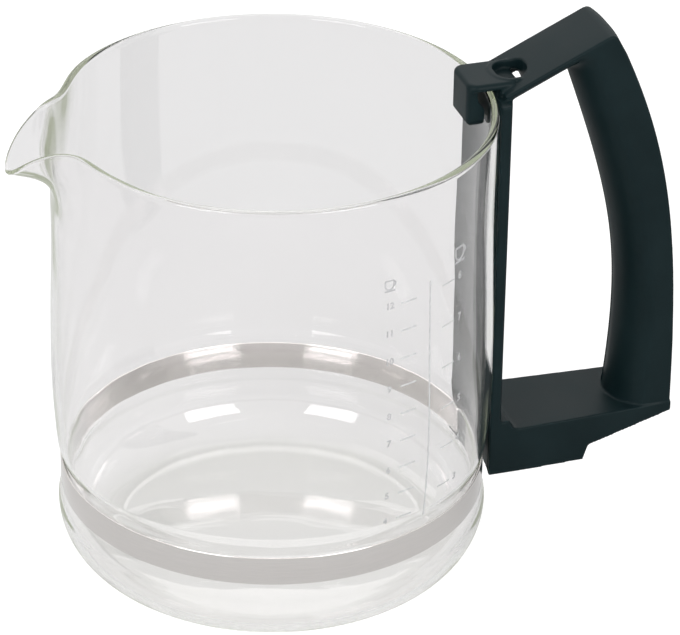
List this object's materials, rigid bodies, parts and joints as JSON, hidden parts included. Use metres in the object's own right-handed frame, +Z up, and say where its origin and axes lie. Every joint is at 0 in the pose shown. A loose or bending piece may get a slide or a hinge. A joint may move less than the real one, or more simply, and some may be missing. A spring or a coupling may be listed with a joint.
{
  "type": "coffee server jug",
  "caption": "Glass coffee server jug with a pulled spout, a sunk steel clamp band and a moulded handle that hooks over the rim and is drawn on by a screw",
  "frame": {"origin": "centre of the base, on the plane the jug stands on", "axes": "+Z up along the jug's axis, +X towards the handle, spout towards -X"},
  "size_m": [0.1965, 0.126, 0.1547],
  "materials": {
    "glass": "clear, fire polished",
    "print": "fired grey print",
    "band_steel": "satin",
    "handle_plastic": "fine satin grain",
    "block_metal": "as cast",
    "screw_steel": "bright plated"
  },
  "bodies": {
    "root": {"glass_jug": "glass", "scale_line": "print", "small_cup_marks": "print", "large_cup_marks": "print", "clamp_band": "band_steel", "handle": "handle_plastic", "draw_block": "block_metal", "clamp_screw": "screw_steel", "clamp_washer": "screw_steel"}
  },
  "joints": []
}
